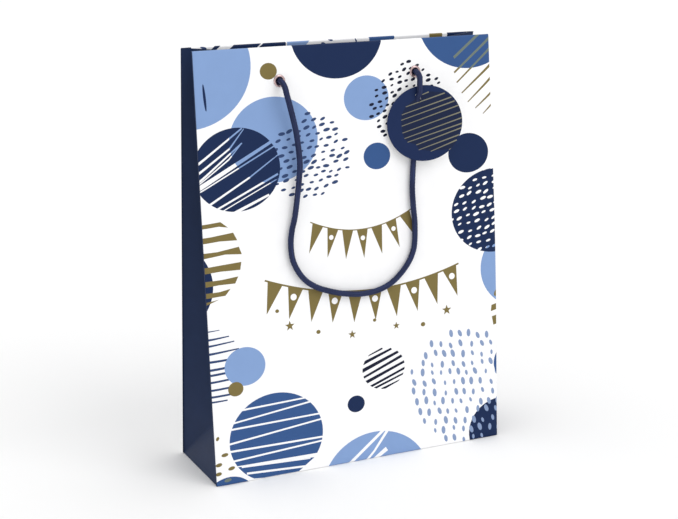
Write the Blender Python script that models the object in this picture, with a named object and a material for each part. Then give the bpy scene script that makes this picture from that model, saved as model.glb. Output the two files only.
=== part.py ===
"""A paper gift bag with rope handles and a round hanging tag.

The bag stands on its base, with its front wall facing -Y and its mouth up. Metres, +Z up,
origin at the middle of the base. Each wall leans in from the base to the mouth, and the two
gussets fold inwards between them. Every sheet is drawn with a small gap to the one it is
glued to or folded from.
"""
import math

import bmesh
import bpy
from mathutils import Matrix, Vector

MM = 0.001

# Overall sizes
BAG_WIDTH = 250 * MM
WALL_LENGTH = 332 * MM      # paper length of a wall, from its base fold to its top fold
BASE_DEPTH = 80 * MM
MOUTH_DEPTH = 26.7 * MM     # distance between the walls' outer faces at the mouth

# Sheets
PAPER = 0.5 * MM            # laminated paper, drawn thicker than the real sheet
CARD = 0.8 * MM             # strip that stiffens the hem
BOARD = 1.2 * MM            # loose board on the base
BOARD_MARGIN = 3 * MM       # the board is cut this much short of the walls and gussets
GAP = 0.3 * MM              # clearance between sheets that touch
HEM_DEPTH = 40 * MM
HEM_INSET = 7 * MM          # the hem and its card stop this far from the wall's side edges
CARD_MARGIN = 3 * MM        # the card is this much shallower than the hem

# Bottom flaps
BOTTOM_FLAP_REACH = 50 * MM
SIDE_FLAP_REACH = 40 * MM
FLAP_MITRE = 28 * MM

# Glue flap down the inside of the back wall
GLUE_FLAP_WIDTH = 15 * MM
GLUE_FLAP_INSET = 3 * MM

# Gussets
CREASE_TRIM = 2.2 * MM      # bare strip each side of the inward crease
FOLD_TRIM = 1.0 * MM        # bare strip each side of the base triangle's folds
LEAF_FOOT = 6 * MM          # paper distance from the base fold to the lowest row of a leaf
LEAF_ROWS = 12
LEAF_COLUMNS = 4

# Rope, eyelets and knots
ROPE_DIAMETER = 4.2 * MM
EYELET_SPACING = 115 * MM
EYELET_DROP = 25.5 * MM     # from the mouth's edge down to the eyelets' centres
BORE_CLEARANCE = 0.4 * MM   # round the rope in the eyelet
BARREL_WALL = 0.5 * MM
FLANGE_DIAMETER = 9 * MM
FLANGE_THICKNESS = 0.8 * MM
ROLL_DIAMETER = 8.4 * MM    # the barrel's rolled inner end
ROLL_THICKNESS = 0.5 * MM
WASHER_DIAMETER = 11 * MM
WASHER_THICKNESS = 0.4 * MM
KNOT_DIAMETER = 9 * MM
KNOT_LENGTH = 7.2 * MM
PIVOT_OFFSET = 7.0 * MM     # the handles turn about a line this far in front of the wall
SWING_CLEARANCE = 0.9 * MM  # between a turning handle's end and the rope end in the bore
ROUND_SIDES = 24

# Tag
TAG_DIAMETER = 60 * MM
TAG_THICKNESS = 0.6 * MM
TAG_OFFSET = 7.2 * MM       # from the wall's face to the middle of the tag at its hole
TAG_HOLE_DIAMETER = 9 * MM
TAG_HOLE_EDGE = 8.3 * MM    # from the hole's centre to the tag's rim
TAG_HOLE_PLACE = (57.1 * MM, 287 * MM)
TAG_TWIST = math.radians(10)
TAG_TILT = math.radians(10)
TAG_SIDES = 64

# Rope routes in a wall's own frame: along the wall, up the wall, and out from its face
FRONT_ROUTE = [
    (-57.5, 306.5, 7.0), (-57.0, 300.5, 9.2), (-54.6, 293.8, 9.7), (-50.9, 283.2, 9.0),
    (-47.8, 266.2, 7.4), (-46.2, 244.8, 5.8), (-46.8, 234.8, 5.2), (-48.2, 222.6, 4.4),
    (-51.4, 203.0, 3.5), (-54.0, 193.1, 3.0), (-55.4, 182.3, 2.7), (-54.4, 170.4, 2.6),
    (-50.4, 160.7, 2.6), (-44.2, 152.6, 2.6), (-35.8, 146.6, 2.6), (-26.5, 142.6, 2.6),
    (-14.7, 139.0, 2.6), (-0.9, 136.6, 2.6), (11.3, 136.6, 2.6), (21.3, 138.6, 2.6),
    (30.3, 142.6, 2.6), (38.0, 148.6, 2.6), (44.0, 155.2, 2.6), (48.2, 162.0, 2.6),
    (51.0, 171.0, 2.6), (51.9, 187.2, 2.6), (51.1, 200.0, 2.6), (50.6, 213.7, 2.6),
    (51.4, 227.0, 2.6), (52.8, 241.0, 2.7), (54.6, 256.0, 3.0), (56.2, 270.0, 3.6),
    (57.0, 276.5, 4.2), (57.1, 281.0, 4.4), (57.1, 283.0, 4.6), (57.1, 285.0, 5.4),
    (57.1, 287.2, 7.2), (57.1, 289.4, 9.1), (57.1, 291.4, 9.9), (57.1, 293.6, 10.1),
    (57.2, 297.5, 10.0), (57.3, 302.0, 9.0), (57.5, 306.5, 7.0),
]
BACK_ROUTE = [
    (-57.5, 306.5, 7.0), (-57.0, 300.5, 9.2), (-55.4, 292.0, 9.7), (-53.4, 280.0, 8.8),
    (-51.4, 262.0, 7.0), (-50.3, 240.0, 5.4), (-50.2, 215.0, 4.1), (-50.5, 192.0, 3.2),
    (-49.8, 172.0, 2.8), (-46.4, 156.4, 2.6), (-38.2, 144.4, 2.6), (-26.0, 137.0, 2.6),
    (-10.0, 133.2, 2.6), (8.0, 132.8, 2.6), (25.0, 136.2, 2.6), (39.0, 143.8, 2.6),
    (48.0, 155.4, 2.6), (52.4, 171.0, 2.8), (53.3, 191.0, 3.1), (52.6, 214.0, 3.9),
    (52.0, 239.0, 5.2), (52.6, 262.0, 7.0), (54.0, 280.0, 8.8), (55.8, 292.0, 9.7),
    (57.1, 300.5, 9.2), (57.5, 306.5, 7.0),
]
ROPE_LONGEST_STEP = 9 * MM
ROPE_LARGEST_TURN = math.radians(13)
ROUTE_SAMPLES = 20              # fine points between two route points
ROPE_END_ANGLES = (75, 45, 20)  # degrees round the rounded end of a rope

# Worked out from the sizes above
LEAN = math.asin((BASE_DEPTH - MOUTH_DEPTH) / 2 / WALL_LENGTH)
ROPE_RADIUS = ROPE_DIAMETER / 2
BORE_RADIUS = ROPE_RADIUS + BORE_CLEARANCE
BARREL_RADIUS = BORE_RADIUS + BARREL_WALL
HOLE_RADIUS = BARREL_RADIUS + GAP
EYELET_HEIGHT = WALL_LENGTH - EYELET_DROP
CARD_DEPTH_IN = PAPER + GAP                       # wall's outer face to the card
HEM_DEPTH_IN = CARD_DEPTH_IN + CARD + GAP         # wall's outer face to the hem
WASHER_DEPTH_IN = HEM_DEPTH_IN + PAPER + GAP
ROLL_DEPTH_IN = WASHER_DEPTH_IN + WASHER_THICKNESS + GAP
KNOT_DEPTH_IN = ROLL_DEPTH_IN + ROLL_THICKNESS + GAP
WALL_FOOT = PAPER * math.tan(LEAN)                # keeps the wall's inner edge above the floor
SHEET_INSET = PAPER + GAP
GUSSET_HALF = BASE_DEPTH / 2 - SHEET_INSET        # paper width of half a gusset


def clear_scene():
    for thing in list(bpy.data.objects):
        bpy.data.objects.remove(thing, do_unlink=True)


def make_material(name, colour, roughness, metallic=0.0):
    material = bpy.data.materials.new(name)
    material.use_nodes = True
    shader = material.node_tree.nodes["Principled BSDF"]
    shader.inputs["Base Color"].default_value = (*colour, 1.0)
    shader.inputs["Roughness"].default_value = roughness
    shader.inputs["Metallic"].default_value = metallic
    material.diffuse_color = (*colour, 1.0)
    return material


def add_empty(name, matrix, parent=None):
    empty = bpy.data.objects.new(name, None)
    bpy.context.scene.collection.objects.link(empty)
    empty.parent = parent
    empty.matrix_local = matrix
    return empty


def add_object(name, bm, material, parent=None, smooth=False):
    """Turns a bmesh drawn in the parent's frame into a named object."""
    bmesh.ops.recalc_face_normals(bm, faces=bm.faces)
    mesh = bpy.data.meshes.new(name)
    bm.to_mesh(mesh)
    bm.free()
    if smooth:
        mesh.shade_smooth()
        mesh.set_sharp_from_angle(angle=math.radians(40))
    thing = bpy.data.objects.new(name, mesh)
    thing.data.materials.append(material)
    thing.parent = parent
    bpy.context.scene.collection.objects.link(thing)
    return thing


def prism(outline, low, high):
    """A plate with the given outline in X and Y, between two heights in Z."""
    bm = bmesh.new()
    floor = [bm.verts.new((x, y, low)) for x, y in outline]
    roof = [bm.verts.new((x, y, high)) for x, y in outline]
    bm.faces.new(floor[::-1])
    bm.faces.new(roof)
    for i, vertex in enumerate(floor):
        j = (i + 1) % len(floor)
        bm.faces.new((vertex, floor[j], roof[j], roof[i]))
    return bm


def rectangle(x_low, x_high, y_low, y_high):
    return [(x_low, y_low), (x_high, y_low), (x_high, y_high), (x_low, y_high)]


def turned(profile, closed, sides=ROUND_SIDES):
    """A solid turned about Z. The profile is (radius, height) points; a radius of 0 is a pole."""
    bm = bmesh.new()
    rings = []
    for radius, height in profile:
        count = sides if radius > 0 else 1
        turns = [2 * math.pi * i / count for i in range(count)]
        rings.append([bm.verts.new((radius * math.cos(t), radius * math.sin(t), height)) for t in turns])
    pairs = list(zip(rings, rings[1:]))
    if closed:
        pairs.append((rings[-1], rings[0]))
    for lower, upper in pairs:
        for i in range(sides):
            corners = [lower[i % len(lower)], lower[(i + 1) % len(lower)]]
            corners += [upper[(i + 1) % len(upper)], upper[i % len(upper)]]
            bm.faces.new(list(dict.fromkeys(corners)))
    return bm


def wall_frame(turn):
    """The frame of a wall: X along it, Y up it and Z out of its face, from its base fold."""
    along = Vector((1, 0, 0))
    up = Vector((0, math.sin(LEAN), math.cos(LEAN)))
    out = along.cross(up)
    frame = Matrix((along, up, out)).transposed().to_4x4()
    frame.translation = Vector((0, -BASE_DEPTH / 2, 0))
    return Matrix.Rotation(turn, 4, "Z") @ frame


def pierced_plate(name, outline, depth_in, thickness, material, parent, cutter):
    plate = add_object(name, prism(outline, -depth_in - thickness, -depth_in), material, parent)
    cut = plate.modifiers.new("eyelet_holes", "BOOLEAN")
    cut.operation = "DIFFERENCE"
    cut.solver = "EXACT"
    cut.object = cutter
    return plate


def eyelet_places():
    return {side: Vector((sign * EYELET_SPACING / 2, EYELET_HEIGHT, 0)) for side, sign in (("a", -1), ("b", 1))}


def eyelet_cutter(name, parent):
    """Two round bars that pierce every layer of the hem."""
    bm = bmesh.new()
    reach = KNOT_DEPTH_IN * 2
    for place in eyelet_places().values():
        bmesh.ops.create_cone(
            bm, cap_ends=True, segments=ROUND_SIDES, radius1=HOLE_RADIUS, radius2=HOLE_RADIUS,
            depth=reach, matrix=Matrix.Translation(place),
        )
    cutter = add_object(name, bm, bpy.data.materials["tool"], parent)
    cutter.hide_render = True
    cutter.display_type = "WIRE"
    return cutter


def eyelet_profile():
    """One turned metal piece: front flange, barrel and rolled inner end."""
    flange = FLANGE_DIAMETER / 2
    roll = ROLL_DIAMETER / 2
    edge = FLANGE_THICKNESS / 4
    return [
        (BORE_RADIUS, -ROLL_DEPTH_IN - ROLL_THICKNESS),
        (roll, -ROLL_DEPTH_IN - ROLL_THICKNESS),
        (roll, -ROLL_DEPTH_IN),
        (BARREL_RADIUS, -ROLL_DEPTH_IN),
        (BARREL_RADIUS, GAP),
        (flange, GAP),
        (flange, GAP + FLANGE_THICKNESS / 2),
        (flange - edge, GAP + FLANGE_THICKNESS),
        (BORE_RADIUS + edge, GAP + FLANGE_THICKNESS),
        (BORE_RADIUS, GAP + FLANGE_THICKNESS - edge),
    ]


def washer_profile():
    inner = BARREL_RADIUS + GAP
    outer = WASHER_DIAMETER / 2
    back = -WASHER_DEPTH_IN - WASHER_THICKNESS
    return [(inner, back), (outer, back), (outer, -WASHER_DEPTH_IN), (inner, -WASHER_DEPTH_IN)]


def knot_profile():
    """The knot behind the eyelet, with the rope's end that runs out through the bore."""
    knot = KNOT_DIAMETER / 2
    back = -KNOT_DEPTH_IN
    tip = PIVOT_OFFSET - ROPE_RADIUS - SWING_CLEARANCE
    return [
        (0, back - KNOT_LENGTH),
        (knot * 0.55, back - KNOT_LENGTH * 0.94),
        (knot * 0.88, back - KNOT_LENGTH * 0.74),
        (knot, back - KNOT_LENGTH * 0.46),
        (knot * 0.9, back - KNOT_LENGTH * 0.18),
        (knot * 0.7, back),
        (ROPE_RADIUS, back),
        (ROPE_RADIUS, tip),
        (0, tip),
    ]


def add_turned(name, profile, closed, place, material, parent):
    bm = turned(profile, closed)
    bm.transform(Matrix.Translation(place))
    return add_object(name, bm, material, parent, smooth=True)


def build_wall(wall, hinge, materials):
    """A wall with its turned-in hem, hem card, eyelets, washers and rope knots."""
    half = BAG_WIDTH / 2
    cutter = eyelet_cutter(f"{wall}_eyelet_cutter", hinge)
    face = rectangle(-half, half, WALL_FOOT, WALL_LENGTH)
    pierced_plate(f"{wall}_panel", face, 0, PAPER, materials["paper"], hinge, cutter)
    inner = half - HEM_INSET
    top = WALL_LENGTH - GAP
    strip = rectangle(-inner, inner, WALL_LENGTH - HEM_DEPTH, top)
    pierced_plate(f"{wall}_hem", strip, HEM_DEPTH_IN, PAPER, materials["paper"], hinge, cutter)
    stiffener = rectangle(-inner, inner, WALL_LENGTH - HEM_DEPTH + CARD_MARGIN, top)
    pierced_plate(f"{wall}_hem_card", stiffener, CARD_DEPTH_IN, CARD, materials["card"], hinge, cutter)
    for side, place in eyelet_places().items():
        add_turned(f"{wall}_eyelet_{side}", eyelet_profile(), True, place, materials["metal"], hinge)
        add_turned(f"{wall}_washer_{side}", washer_profile(), True, place, materials["metal"], hinge)
        add_turned(f"{wall}_knot_{side}", knot_profile(), False, place, materials["rope"], hinge)


def build_glue_flap(hinge, materials):
    """The strip that closes the bag's tube, glued down inside the back wall."""
    outer = BAG_WIDTH / 2 - GLUE_FLAP_INSET
    foot = WALL_FOOT + base_stack_height() + GAP
    strip = rectangle(outer - GLUE_FLAP_WIDTH, outer, foot, WALL_LENGTH - HEM_DEPTH - GAP)
    plate = prism(strip, -SHEET_INSET - PAPER, -SHEET_INSET)
    add_object("glue_flap", plate, materials["liner"], hinge)


def half_depth(distance):
    """Half the gap between the gusset's two wall-side edges, at a paper distance up the wall."""
    return GUSSET_HALF - distance * math.sin(LEAN)


def crease_inset(distance):
    """How far the crease stands in from the side, so that the paper keeps its width."""
    return math.sqrt(max(0.0, GUSSET_HALF ** 2 - half_depth(distance) ** 2))


def triangle_slope():
    """Inward run of the base triangle for each unit up its paper."""
    return crease_inset(GUSSET_HALF) / GUSSET_HALF


def inner_point(distance):
    """The end of a gusset row away from the wall: on the base fold, then on the crease."""
    slope = triangle_slope()
    rise = math.sqrt(1 - slope ** 2)
    if distance <= GUSSET_HALF:
        return Vector((slope * distance, -(GUSSET_HALF - distance), rise * distance))
    length = WALL_LENGTH - GUSSET_HALF
    drift = crease_inset(WALL_LENGTH) - crease_inset(GUSSET_HALF)
    climb = math.sqrt(length ** 2 - drift ** 2) / length
    height = rise * GUSSET_HALF + climb * (distance - GUSSET_HALF)
    return Vector((crease_inset(distance), 0, height))


def gusset_point(distance, across):
    """A point of the front leaf: inset from the side, depth and height."""
    edge = Vector((0, -half_depth(distance), distance * math.cos(LEAN)))
    width = min(distance, GUSSET_HALF)
    return edge.lerp(inner_point(distance), across / width)


def place_gusset_point(point, side, end):
    """Mirrors a front leaf's point to the left or right side, and to the front or back."""
    edge_x = BAG_WIDTH / 2 - PAPER
    return (side * (edge_x - point.x), end * point.y, point.z)


def add_sheet(name, rows, material, outward):
    """A thin closed sheet from a grid of points, thickened towards the outward side."""
    bm = bmesh.new()
    grid = [[bm.verts.new(point) for point in row] for row in rows]
    for lower, upper in zip(grid, grid[1:]):
        for i in range(len(lower) - 1):
            bm.faces.new((lower[i], lower[i + 1], upper[i + 1], upper[i]))
    bmesh.ops.triangulate(bm, faces=bm.faces)
    bm.normal_update()
    first = next(iter(bm.faces))
    if first.normal.dot(outward) < 0:
        bmesh.ops.reverse_faces(bm, faces=bm.faces)
    bm.normal_update()
    lower_skin = list(bm.faces)
    pushed = {vertex: vertex.co + vertex.normal * PAPER for vertex in bm.verts}
    copies = {vertex: bm.verts.new(place) for vertex, place in pushed.items()}
    rim = [edge for edge in bm.edges if edge.is_boundary]
    for face in lower_skin:
        bm.faces.new([copies[vertex] for vertex in face.verts])
    for edge in rim:
        first_end, last_end = edge.verts
        bm.faces.new((first_end, last_end, copies[last_end], copies[first_end]))
    bmesh.ops.reverse_faces(bm, faces=lower_skin)
    return add_object(name, bm, material)


def leaf_rows(side, end):
    """Rows of points up one leaf: a triangular foot above the base fold, then the full width."""
    foot_rows = 4
    full_rows = LEAF_ROWS - foot_rows
    distances = [LEAF_FOOT + (GUSSET_HALF - LEAF_FOOT) * i / foot_rows for i in range(foot_rows)]
    distances += [GUSSET_HALF + (WALL_LENGTH - GUSSET_HALF) * i / full_rows for i in range(full_rows + 1)]
    rows = []
    for distance in distances:
        trim = FOLD_TRIM * math.sqrt(2) if distance < GUSSET_HALF else CREASE_TRIM
        width = min(distance, GUSSET_HALF) - trim
        steps = [width * i / LEAF_COLUMNS for i in range(LEAF_COLUMNS + 1)]
        rows.append([place_gusset_point(gusset_point(distance, a), side, end) for a in steps])
    return rows


def triangle_rows(side):
    """The base triangle of a gusset, from the base fold up to the foot of the crease."""
    slope = triangle_slope()
    rise = math.sqrt(1 - slope ** 2)
    reach = GUSSET_HALF - FOLD_TRIM * math.sqrt(2)
    rows = []
    for distance in (GAP, reach - FOLD_TRIM):
        half = reach - distance
        points = [Vector((slope * distance, y, rise * distance)) for y in (-half, half)]
        rows.append([place_gusset_point(point, side, 1) for point in points])
    return rows


def build_gussets(materials):
    for name, side in (("left", -1), ("right", 1)):
        outward = Vector((side, 0, 0))
        add_sheet(f"{name}_gusset_base", triangle_rows(side), materials["gusset"], outward)
        for leaf, end in (("front", 1), ("back", -1)):
            rows = leaf_rows(side, end)
            add_sheet(f"{name}_gusset_{leaf}_leaf", rows, materials["gusset"], outward)


def base_half_width(height):
    """Half the room between the gussets' base triangles, at a height above the floor."""
    slope = triangle_slope()
    return BAG_WIDTH / 2 - SHEET_INSET - height * slope / math.sqrt(1 - slope ** 2)


def base_half_depth(height):
    """Half the room between the walls, at a height above the floor."""
    return BASE_DEPTH / 2 - SHEET_INSET - height * math.tan(LEAN)


def flap_outline(hinge_y, free_y, half):
    """A bottom flap whose free edge is shorter than its fold."""
    return [(-half, hinge_y), (half, hinge_y), (half - FLAP_MITRE, free_y), (FLAP_MITRE - half, free_y)]


def flap_levels():
    """Lowest heights of the three layers of flaps and of the board on them."""
    step = PAPER + GAP
    return [0, step, 2 * step, 3 * step]


def base_stack_height():
    return flap_levels()[3] + BOARD


def build_base(materials):
    outer, inner, side_level, board_level = flap_levels()
    paper = materials["paper"]
    half = base_half_width(board_level)
    depth = base_half_depth(board_level)
    back = flap_outline(depth, depth - BOTTOM_FLAP_REACH, half)
    add_object("bottom_back_flap", prism(back, outer, outer + PAPER), paper)
    front = flap_outline(-depth, BOTTOM_FLAP_REACH - depth, half)
    add_object("bottom_front_flap", prism(front, inner, inner + PAPER), paper)
    for name, side in (("left", -1), ("right", 1)):
        span = sorted((side * half, side * (half - SIDE_FLAP_REACH)))
        flap = rectangle(span[0], span[1], -depth, depth)
        add_object(f"bottom_{name}_flap", prism(flap, side_level, side_level + PAPER), paper)
    half = base_half_width(base_stack_height()) - BOARD_MARGIN
    depth = base_half_depth(base_stack_height()) - BOARD_MARGIN
    board = prism(rectangle(-half, half, -depth, depth), board_level, board_level + BOARD)
    add_object("base_board", board, materials["board"])


def smooth_curve(route):
    """Fine points along a smooth curve through a route's points."""
    knots = [Vector(point) * MM for point in route]
    ends = [2 * knots[0] - knots[1], *knots, 2 * knots[-1] - knots[-2]]
    fine = []
    for before, start, stop, after in zip(ends, ends[1:], ends[2:], ends[3:]):
        for i in range(ROUTE_SAMPLES):
            t = i / ROUTE_SAMPLES
            bend = 2 * start + (stop - before) * t
            bend += (2 * before - 5 * start + 4 * stop - after) * t ** 2
            bend += (3 * start - before - 3 * stop + after) * t ** 3
            fine.append(bend / 2)
    return [*fine, knots[-1]]


def spaced_points(fine):
    """Keeps the points of a fine curve that its length and its bends need."""
    kept = [fine[0]]
    run = turn = 0.0
    for before, here, after in zip(fine, fine[1:], fine[2:]):
        run += (here - before).length
        turn += (here - before).angle(after - here, 0.0)
        if run >= ROPE_LONGEST_STEP or turn >= ROPE_LARGEST_TURN:
            kept.append(here)
            run = turn = 0.0
    return [*kept, fine[-1]]


def rounded_end(tip, towards):
    """Points and radii that close a rope's end with a ball about its pivot."""
    direction = (towards - tip).normalized()
    angles = [math.radians(a) for a in ROPE_END_ANGLES]
    return [(tip - direction * ROPE_RADIUS * math.sin(a), math.cos(a)) for a in angles]


def add_rope(name, route, pivot, material):
    """A tube along the route, with its ends on the line that the handle turns about."""
    points = spaced_points(smooth_curve(route))
    shaped = rounded_end(points[0], points[1])
    shaped += [(point, 1.0) for point in points]
    shaped += rounded_end(points[-1], points[-2])[::-1]
    curve = bpy.data.curves.new(name, "CURVE")
    curve.dimensions = "3D"
    curve.bevel_depth = ROPE_RADIUS
    curve.bevel_resolution = 2
    curve.use_fill_caps = True
    spline = curve.splines.new("POLY")
    spline.points.add(len(shaped) - 1)
    origin = Vector((0, EYELET_HEIGHT, PIVOT_OFFSET))
    for control, (place, radius) in zip(spline.points, shaped):
        control.co = (*(place - origin), 1.0)
        control.radius = radius
    rope = bpy.data.objects.new(name, curve)
    rope.data.materials.append(material)
    rope.parent = pivot
    bpy.context.scene.collection.objects.link(rope)
    return rope


def tag_frame():
    """The tag's own frame in its wall's frame: Z out of its face, origin at the hole."""
    place = Vector((*TAG_HOLE_PLACE, TAG_OFFSET))
    twist = Matrix.Rotation(-TAG_TWIST, 4, "Y")
    tilt = Matrix.Rotation(TAG_TILT, 4, "Z")
    return Matrix.Translation(place) @ twist @ tilt


def build_tag(pivot, materials):
    """A round card with a hole near its rim, which hangs on the front rope."""
    drop = TAG_DIAMETER / 2 - TAG_HOLE_EDGE
    half = TAG_THICKNESS / 2
    bm = bmesh.new()
    turns = [2 * math.pi * i / TAG_SIDES for i in range(TAG_SIDES)]
    rim, hole = [], []
    for height in (-half, half):
        radius = TAG_DIAMETER / 2
        rim.append([bm.verts.new((radius * math.cos(t), radius * math.sin(t) - drop, height)) for t in turns])
        radius = TAG_HOLE_DIAMETER / 2
        hole.append([bm.verts.new((radius * math.cos(t), radius * math.sin(t), height)) for t in turns])
    loops = [rim[0], rim[1], hole[1], hole[0]]
    for lower, upper in zip(loops, loops[1:] + loops[:1]):
        for i in range(TAG_SIDES):
            j = (i + 1) % TAG_SIDES
            bm.faces.new((lower[i], lower[j], upper[j], upper[i]))
    add_object("tag", bm, materials["tag"], pivot)


def build_materials():
    make_material("tool", (0.5, 0.5, 0.5), 0.5)
    return {
        "paper": make_material("printed_paper", (0.93, 0.93, 0.94), 0.45),
        "gusset": make_material("navy_paper", (0.02, 0.033, 0.098), 0.45),
        "liner": make_material("unprinted_paper", (0.85, 0.85, 0.84), 0.8),
        "card": make_material("white_card", (0.8, 0.8, 0.78), 0.8),
        "board": make_material("grey_board", (0.36, 0.34, 0.31), 0.9),
        "metal": make_material("plated_eyelet", (0.72, 0.66, 0.66), 0.3, 1.0),
        "rope": make_material("navy_rope", (0.026, 0.026, 0.11), 0.7),
        "tag": make_material("navy_tag_card", (0.02, 0.033, 0.098), 0.5),
    }


def main():
    clear_scene()
    materials = build_materials()
    build_base(materials)
    build_gussets(materials)
    pivot_place = Matrix.Translation((0, EYELET_HEIGHT, PIVOT_OFFSET))
    routes = {"front": FRONT_ROUTE, "back": BACK_ROUTE}
    for turn, (wall, route) in zip((0, math.pi), routes.items()):
        hinge = add_empty(f"{wall}_wall_hinge", wall_frame(turn))
        build_wall(wall, hinge, materials)
        pivot = add_empty(f"{wall}_handle_pivot", pivot_place, hinge)
        add_rope(f"{wall}_rope", route, pivot, materials["rope"])
        if wall == "front":
            build_tag(add_empty("tag_pivot", pivot_place.inverted() @ tag_frame(), pivot), materials)
        else:
            build_glue_flap(hinge, materials)


main()
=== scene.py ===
import random
from math import atan2, copysign, cos, hypot, pi, radians, sin, sqrt

import bpy
import numpy as np
from mathutils import Matrix, Vector
from mathutils.geometry import delaunay_2d_cdt


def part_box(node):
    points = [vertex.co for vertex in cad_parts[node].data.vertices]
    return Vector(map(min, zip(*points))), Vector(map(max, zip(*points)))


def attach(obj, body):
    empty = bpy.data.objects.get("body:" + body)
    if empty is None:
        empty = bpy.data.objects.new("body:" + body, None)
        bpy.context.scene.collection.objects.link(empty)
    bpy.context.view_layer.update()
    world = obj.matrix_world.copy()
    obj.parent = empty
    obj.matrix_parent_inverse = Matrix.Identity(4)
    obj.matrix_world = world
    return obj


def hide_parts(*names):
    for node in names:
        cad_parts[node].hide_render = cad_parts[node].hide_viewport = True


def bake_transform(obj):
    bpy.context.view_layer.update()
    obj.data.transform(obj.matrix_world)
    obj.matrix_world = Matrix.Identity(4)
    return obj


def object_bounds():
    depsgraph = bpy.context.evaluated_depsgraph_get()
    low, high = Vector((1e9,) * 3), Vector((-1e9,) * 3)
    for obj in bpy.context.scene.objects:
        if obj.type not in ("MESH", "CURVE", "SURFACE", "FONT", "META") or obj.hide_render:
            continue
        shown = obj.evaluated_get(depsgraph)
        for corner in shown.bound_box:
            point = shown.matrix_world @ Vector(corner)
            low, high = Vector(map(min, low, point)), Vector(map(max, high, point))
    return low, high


# A paper gift bag with rope handles. Lengths are in millimetres until a point is placed.
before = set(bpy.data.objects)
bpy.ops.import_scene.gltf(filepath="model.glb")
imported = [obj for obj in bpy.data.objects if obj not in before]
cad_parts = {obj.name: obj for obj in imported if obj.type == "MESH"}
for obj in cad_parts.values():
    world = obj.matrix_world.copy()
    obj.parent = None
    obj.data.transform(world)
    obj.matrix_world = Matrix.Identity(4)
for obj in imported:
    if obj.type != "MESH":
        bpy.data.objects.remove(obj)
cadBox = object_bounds()
scene = bpy.context.scene
mm = 0.001

# The bag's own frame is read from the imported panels
bag = {
    "drawnSheet": 0.5,      # thickness of the frame's sheets
    "paper": 0.35,          # laminated paper as seen
    "paperGap": 0.3,        # clearance between the frame's sheets
    "hemDepth": 40, "hole": 3.3,
    "hemInset": 7,          # the hem stops this far from the side folds
}
panelLow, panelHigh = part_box("front_panel")
halfWidth = (panelHigh[0] - panelLow[0]) / 2 / mm
halfDepth = -panelLow[1] / mm
wallRun = (panelHigh[1] - panelLow[1]) / mm - bag["drawnSheet"]
wallRise = panelHigh[2] / mm
lean = atan2(wallRun, wallRise)
wallLength = hypot(wallRun, wallRise)


def wallMatrix(turn):
    along = Vector((1, 0, 0))
    up = Vector((0, sin(lean), cos(lean)))
    matrix = Matrix((along, up, along.cross(up))).transposed().to_4x4()
    matrix.translation = (0, -halfDepth * mm, 0)
    return Matrix.Rotation(turn, 4, "Z") @ matrix


wallFrames = {"front": wallMatrix(0), "back": wallMatrix(pi)}


def onWall(wall, along, up, out):
    return wallFrames[wall] @ Vector((along * mm, up * mm, out * mm))


eyeletLow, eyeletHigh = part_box("front_eyelet_a")
eyeletMiddle = (Vector(eyeletLow) + Vector(eyeletHigh)) / 2
eyeletPlace = wallFrames["front"].inverted() @ eyeletMiddle / mm
eyeletAlong, eyeletUp = abs(eyeletPlace.x), eyeletPlace.y

cameraPlace = {
    "at": (-0.494925, -1.054125, 0.46075), "turn": 25.073, "drop": 14.622, "roll": -0.344,
    "lens": 79.94, "sensor": 36,
}
heading, drop, roll = (radians(cameraPlace[key]) for key in ("turn", "drop", "roll"))
forward = Vector((sin(heading) * cos(drop), cos(heading) * cos(drop), -sin(drop)))
levelRight = Vector((cos(heading), -sin(heading), 0))
levelUp = levelRight.cross(forward)
cameraRight = cos(roll) * levelRight + sin(roll) * levelUp
cameraUp = cos(roll) * levelUp - sin(roll) * levelRight
cameraData = bpy.data.cameras.new("studioCamera")
cameraData.lens = cameraPlace["lens"]
cameraData.sensor_width = cameraPlace["sensor"]
camera = bpy.data.objects.new("studioCamera", cameraData)
camera.matrix_world = Matrix((cameraRight, cameraUp, -forward)).transposed().to_4x4()
camera.matrix_world.translation = cameraPlace["at"]
scene.collection.objects.link(camera)
bpy.context.scene.camera = camera
print("camera set")


def colourFromHex(text):
    parts = [int(text[i:i + 2], 16) / 255 for i in (1, 3, 5)]
    linear = [c / 12.92 if c <= 0.04045 else ((c + 0.055) / 1.055) ** 2.4 for c in parts]
    return (*linear, 1.0)


def feed(material, node, links):
    for socket, source in links.items():
        material.node_tree.links.new(source, node.inputs[socket])


def addNode(material, kind, settings=None, links=None):
    node = material.node_tree.nodes.new(kind)
    for key, value in (settings or {}).items():
        if isinstance(key, str) and hasattr(node, key):
            setattr(node, key, value)
        else:
            node.inputs[key].default_value = value
    feed(material, node, links or {})
    return node


def newMaterial(name, settings):
    material = bpy.data.materials.new(name)
    material.use_nodes = True
    shader = material.node_tree.nodes["Principled BSDF"]
    for key, value in settings.items():
        shader.inputs[key].default_value = value
    return material, shader


stock = {"ramp": (0.3, 0.7), "smoother": 0.05, "rougher": 0.07, "fibre": 0.00003}


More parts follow.
